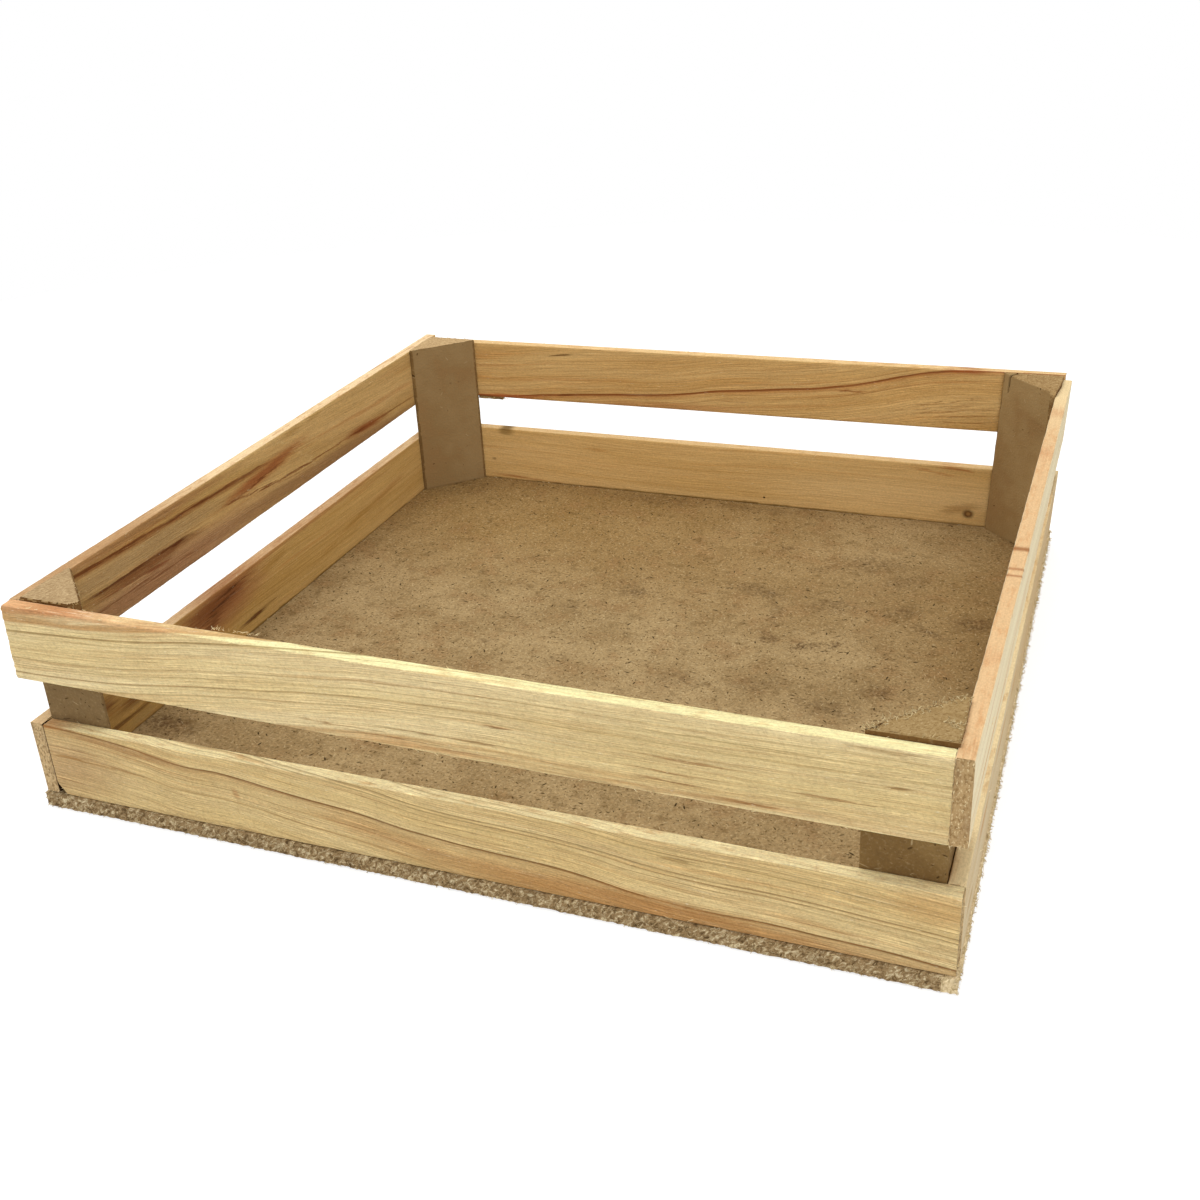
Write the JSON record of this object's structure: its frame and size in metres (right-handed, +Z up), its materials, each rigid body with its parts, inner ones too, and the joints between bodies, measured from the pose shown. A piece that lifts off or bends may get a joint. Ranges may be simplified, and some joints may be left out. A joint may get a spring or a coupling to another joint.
{
  "type": "slatted wooden crate",
  "caption": "Low square open-topped wooden crate with an MDF floor, triangular corner posts and two rings of thin pine slats with a hand gap between them.",
  "frame": {"origin": "centre of the floor panel's underside, where the crate rests", "axes": "+Z up, +X to the right along the front slats, +Y to the back"},
  "size_m": [0.3018, 0.2988, 0.0777],
  "materials": {
    "mdf_floor": "raw MDF board, matt, flecked with darker fibres",
    "mdf_post": "raw sawn MDF, matt, grey-brown",
    "pine_slat": "rough-sawn unfinished pine, pale yellow with darker growth lines"
  },
  "bodies": {
    "root": {"floor_panel": "mdf_floor", "post_front_left": "mdf_post", "post_front_right": "mdf_post", "post_back_left": "mdf_post", "post_back_right": "mdf_post", "slat_lower_front": "pine_slat", "slat_lower_right": "pine_slat", "slat_lower_back": "pine_slat", "slat_lower_left": "pine_slat", "slat_upper_front": "pine_slat", "slat_upper_right": "pine_slat", "slat_upper_back": "pine_slat", "slat_upper_left": "pine_slat"}
  },
  "joints": []
}
